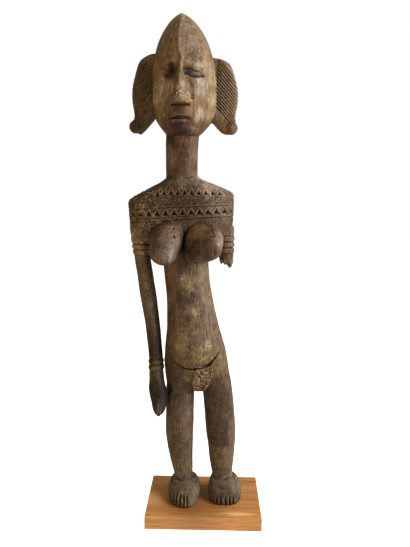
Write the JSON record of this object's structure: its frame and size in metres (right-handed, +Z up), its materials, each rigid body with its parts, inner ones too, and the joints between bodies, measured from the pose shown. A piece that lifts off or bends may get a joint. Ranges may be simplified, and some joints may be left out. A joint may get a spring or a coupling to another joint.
{
  "type": "carved wooden figure on a plinth",
  "caption": "Standing female figure carved from one block of dark wood, with a ridged head, hair lobes and chip-carved shoulders, on a rectangular plank plinth.",
  "frame": {"origin": "centre of the plinth's flat underside", "axes": "+Z up along the standing figure, the figure faces -Y, and +X is the figure's own left"},
  "size_m": [0.1676, 0.1176, 0.6074],
  "materials": {
    "carved_wood": "worn, handled hardwood with a dry brown-grey patina and paler rubbed edges",
    "plank_wood": "planed and oiled plank, honey brown with a plain straight grain"
  },
  "bodies": {
    "root": {"carved_figure": "carved_wood", "plinth": "plank_wood"}
  },
  "joints": []
}
